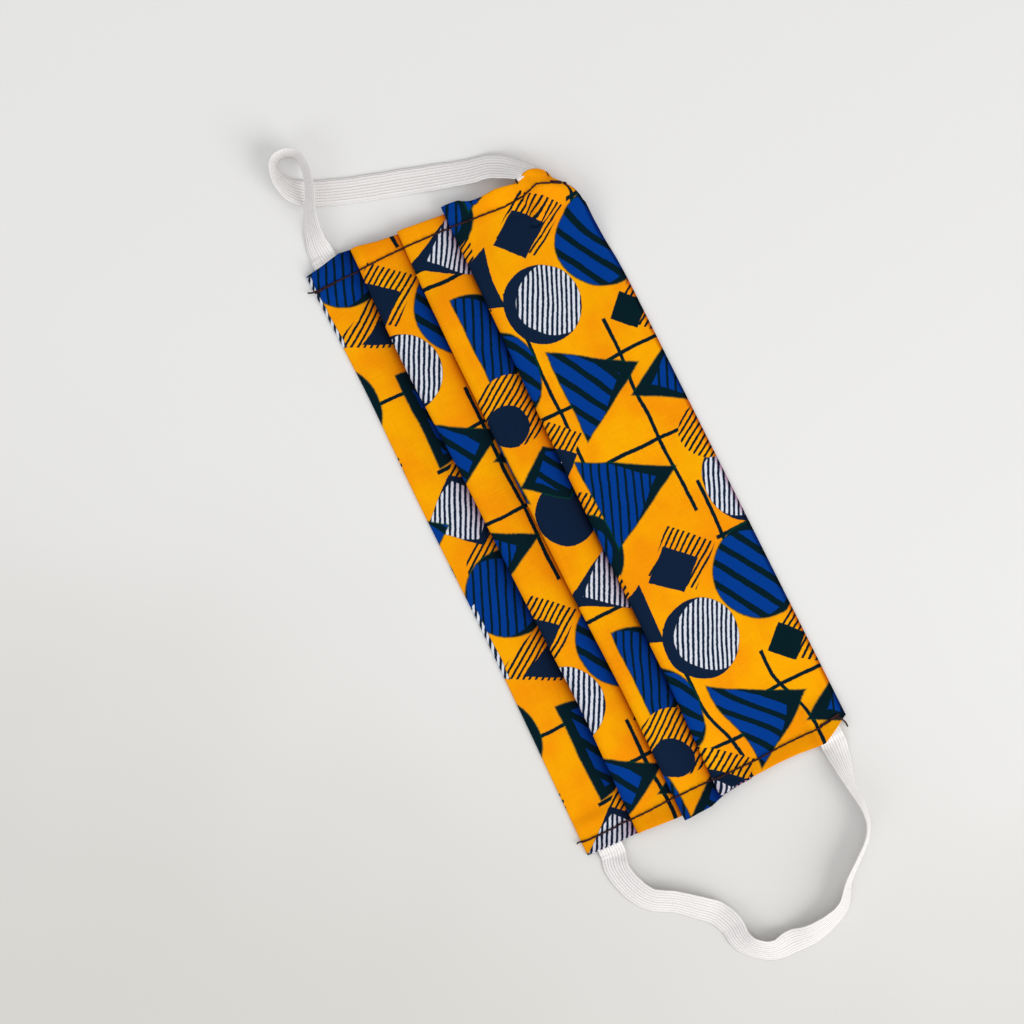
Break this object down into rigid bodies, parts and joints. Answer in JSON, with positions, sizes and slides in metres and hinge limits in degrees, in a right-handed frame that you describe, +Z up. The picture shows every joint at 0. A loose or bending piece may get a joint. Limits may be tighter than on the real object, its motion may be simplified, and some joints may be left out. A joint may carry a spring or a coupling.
{
  "type": "pleated cloth face mask",
  "caption": "Pleated cloth face mask with flat elastic ear loops, lying on its back with the pleats up and a bent corner.",
  "frame": {"origin": "under the middle of the whole mask's box, on the surface it lies on", "axes": "+X along the pleats, +Y from the chin edge to the nose edge, +Z up out of the face of the cloth"},
  "size_m": [0.2934, 0.0904, 0.0104],
  "materials": {
    "print_cloth": "plain-weave cotton with a wax-resist style print in yellow orange, blue, navy and dark green",
    "elastic": "white flat braided elastic with ribs along its length",
    "thread": "dark maroon sewing thread"
  },
  "bodies": {
    "root": {"pleated_panel": "print_cloth", "ear_loop_left": "elastic", "ear_loop_right": "elastic"}
  },
  "joints": []
}
